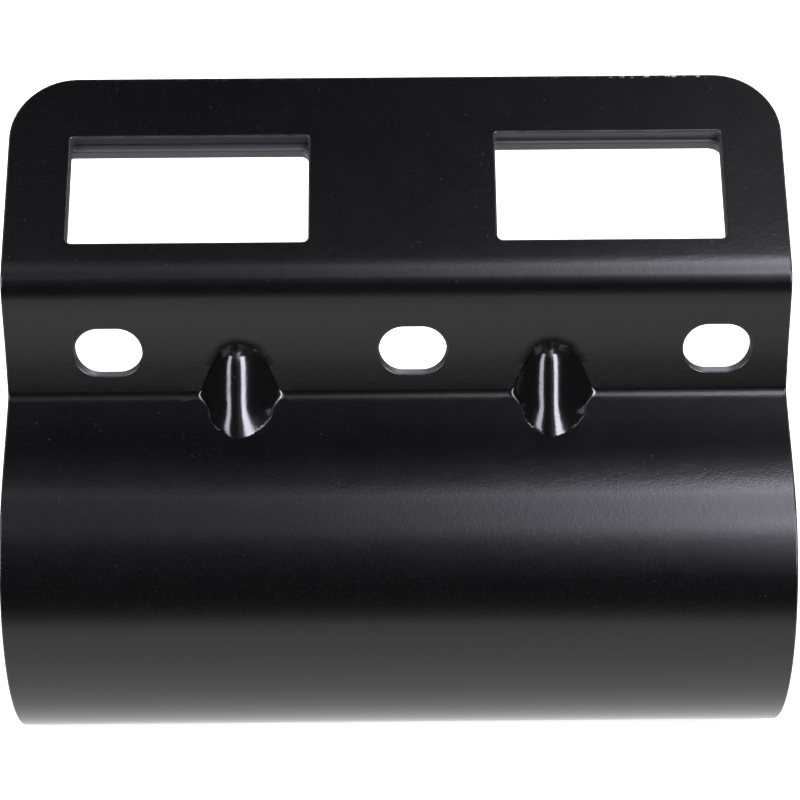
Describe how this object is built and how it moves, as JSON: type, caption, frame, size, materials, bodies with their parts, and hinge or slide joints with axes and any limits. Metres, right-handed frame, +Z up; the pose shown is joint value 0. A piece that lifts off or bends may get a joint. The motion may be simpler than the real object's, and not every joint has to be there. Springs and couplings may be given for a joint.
{
  "type": "double-flange tube sleeve bracket",
  "caption": "Black sheet-steel sleeve bracket that grips a round tube, with a slotted double flange, gusset ribs and a leaning top plate pierced by strap windows.",
  "frame": {"origin": "centre of the tube bore, on its axis and half way along the width", "axes": "+X along the bore, +Z up towards the top plate, -Y out of the front face of the flange"},
  "size_m": [0.15, 0.068, 0.127],
  "materials": {
    "powder_coat": "satin black powder coat over mild steel"
  },
  "bodies": {
    "root": {"front_shell": "powder_coat", "rear_shell": "powder_coat", "seam_weld": "powder_coat", "plug_welds": "powder_coat"}
  },
  "joints": []
}
